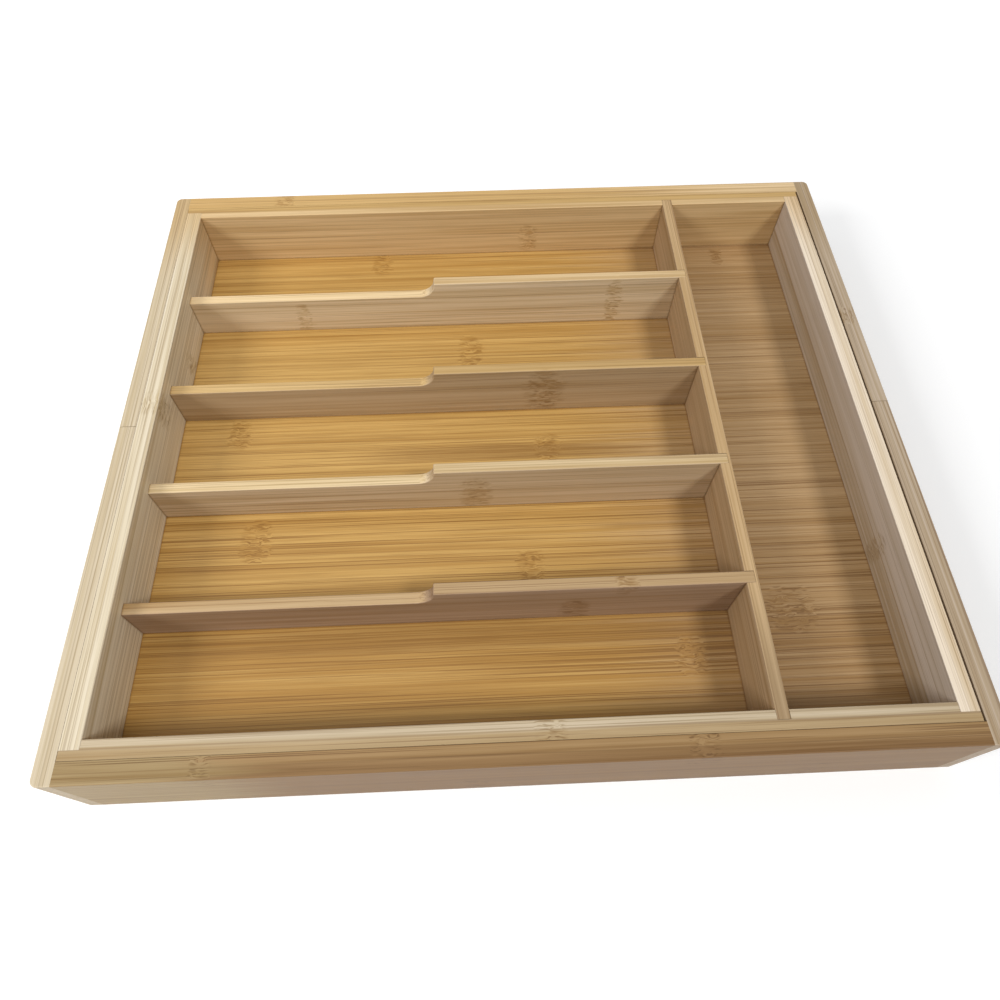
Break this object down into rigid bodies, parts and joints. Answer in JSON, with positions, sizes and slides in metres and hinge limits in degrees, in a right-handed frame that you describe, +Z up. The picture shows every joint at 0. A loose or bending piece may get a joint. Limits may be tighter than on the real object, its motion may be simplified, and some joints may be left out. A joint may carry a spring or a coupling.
{
  "type": "expandable cutlery tray",
  "caption": "Expandable bamboo cutlery tray: a divided main tray with dipped cross dividers, held between U-shaped side trays that slide out to fill a wider drawer.",
  "frame": {"origin": "on the table, under the middle of the closed tray", "axes": "+X along the cutlery towards the long bay, +Y towards the rear side tray's way out, +Z up"},
  "size_m": [0.375, 0.3292, 0.045],
  "materials": {
    "wall_board": "satin clear lacquer over laminated bamboo",
    "divider_board": "satin clear lacquer over laminated bamboo",
    "floor_board": "satin clear lacquer over flat-pressed bamboo",
    "dowel_stock": "bare sanded bamboo"
  },
  "bodies": {
    "main_tray": {"main_left_wall": "wall_board", "main_right_wall": "wall_board", "main_front_wall": "wall_board", "main_rear_wall": "wall_board", "main_floor": "floor_board", "long_divider": "divider_board", "cross_divider_1": "divider_board", "cross_divider_2": "divider_board", "cross_divider_3": "divider_board", "cross_divider_4": "divider_board", "main_corner_dowels": "dowel_stock"},
    "rear_tray": {"rear_end_wall": "wall_board", "rear_left_rail": "wall_board", "rear_right_rail": "wall_board", "rear_floor": "floor_board", "rear_left_guide_pin": "dowel_stock", "rear_right_guide_pin": "dowel_stock", "rear_corner_dowels": "dowel_stock"},
    "front_tray": {"front_end_wall": "wall_board", "front_left_rail": "wall_board", "front_right_rail": "wall_board", "front_floor": "floor_board", "front_left_guide_pin": "dowel_stock", "front_right_guide_pin": "dowel_stock", "front_corner_dowels": "dowel_stock"}
  },
  "joints": [
    {"name": "rear_slide", "type": "slide", "parent": "main_tray", "child": "rear_tray", "axis": [0, 1, 0], "range_m": [0, 0.095]},
    {"name": "front_slide", "type": "slide", "parent": "main_tray", "child": "front_tray", "axis": [0, -1, 0], "range_m": [0, 0.095]}
  ]
}
